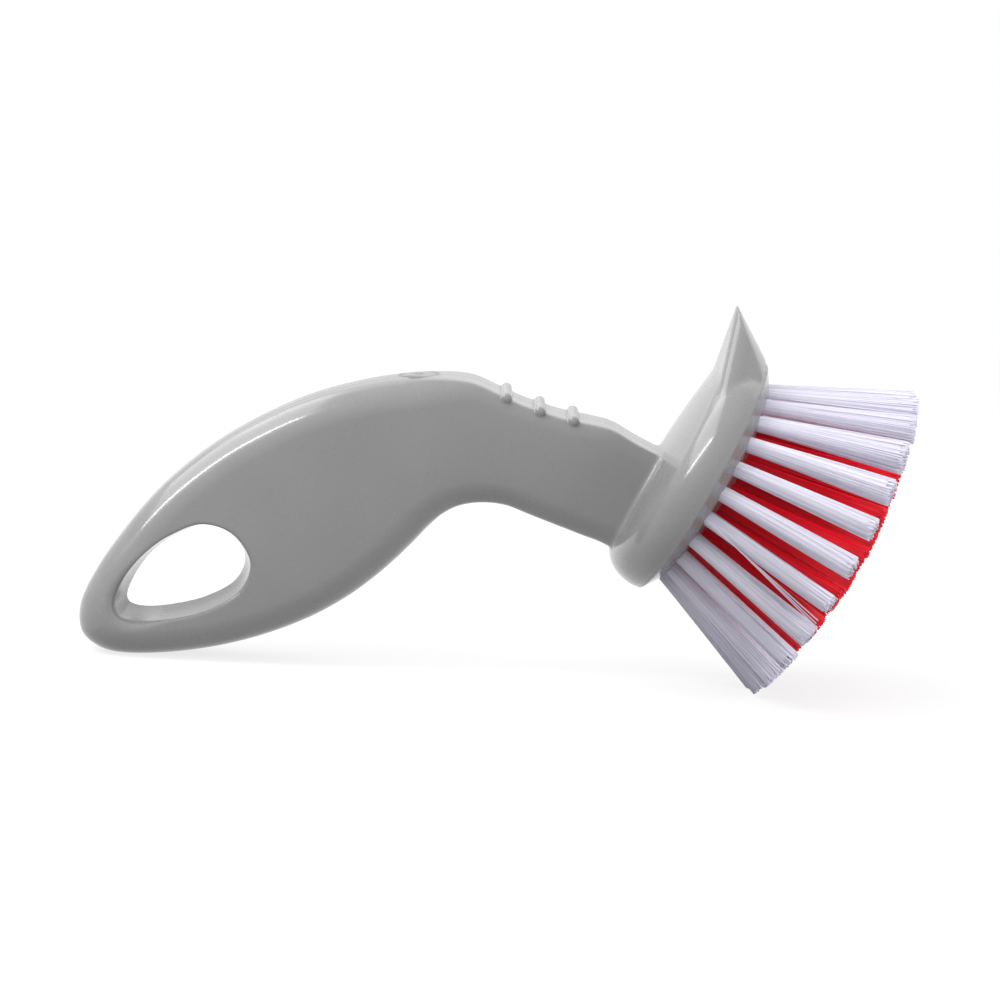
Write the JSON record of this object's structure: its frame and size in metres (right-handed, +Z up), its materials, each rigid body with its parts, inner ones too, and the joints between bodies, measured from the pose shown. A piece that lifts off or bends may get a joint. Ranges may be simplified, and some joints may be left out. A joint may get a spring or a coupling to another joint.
{
  "type": "washing-up brush",
  "caption": "Palm-grip washing-up brush: an arched handle with a hanging hole and thumb ribs, a round head with a pointed scraper, and a splayed fan of bristle tufts.",
  "frame": {"origin": "centre of the footprint box, on the surface that the heel of the handle and the lowest tuft lie on", "axes": "+X from the handle to the bristles, +Y across the brush, +Z up"},
  "size_m": [0.181, 0.0758, 0.0849],
  "materials": {
    "grey_plastic": "smooth gloss moulding",
    "white_bristle": "translucent drawn filament",
    "red_bristle": "drawn filament"
  },
  "bodies": {
    "root": {"handle_and_head": "grey_plastic", "white_tuft_01": "white_bristle", "white_tuft_02": "white_bristle", "white_tuft_03": "white_bristle", "white_tuft_04": "white_bristle", "white_tuft_05": "white_bristle", "white_tuft_06": "white_bristle", "white_tuft_07": "white_bristle", "white_tuft_08": "white_bristle", "white_tuft_09": "white_bristle", "white_tuft_10": "white_bristle", "white_tuft_11": "white_bristle", "white_tuft_12": "white_bristle", "white_tuft_13": "white_bristle", "white_tuft_14": "white_bristle", "white_tuft_15": "white_bristle", "white_tuft_16": "white_bristle", "white_tuft_17": "white_bristle", "white_tuft_18": "white_bristle", "white_tuft_19": "white_bristle", "white_tuft_20": "white_bristle", "white_tuft_21": "white_bristle", "white_tuft_22": "white_bristle", "white_tuft_23": "white_bristle", "red_middle_tuft_01": "red_bristle", "red_middle_tuft_02": "red_bristle", "red_middle_tuft_03": "red_bristle", "red_middle_tuft_04": "red_bristle", "red_middle_tuft_05": "red_bristle", "red_middle_tuft_06": "red_bristle", "red_middle_tuft_07": "red_bristle", "red_middle_tuft_08": "red_bristle", "red_middle_tuft_09": "red_bristle", "red_middle_tuft_10": "red_bristle", "red_middle_tuft_11": "red_bristle", "red_middle_tuft_12": "red_bristle", "red_middle_tuft_13": "red_bristle", "red_middle_tuft_14": "red_bristle", "red_middle_tuft_15": "red_bristle", "red_inner_tuft_01": "red_bristle", "red_inner_tuft_02": "red_bristle", "red_inner_tuft_03": "red_bristle", "red_inner_tuft_04": "red_bristle", "red_inner_tuft_05": "red_bristle", "red_inner_tuft_06": "red_bristle", "red_inner_tuft_07": "red_bristle", "red_inner_tuft_08": "red_bristle", "red_centre_tuft": "red_bristle"}
  },
  "joints": []
}
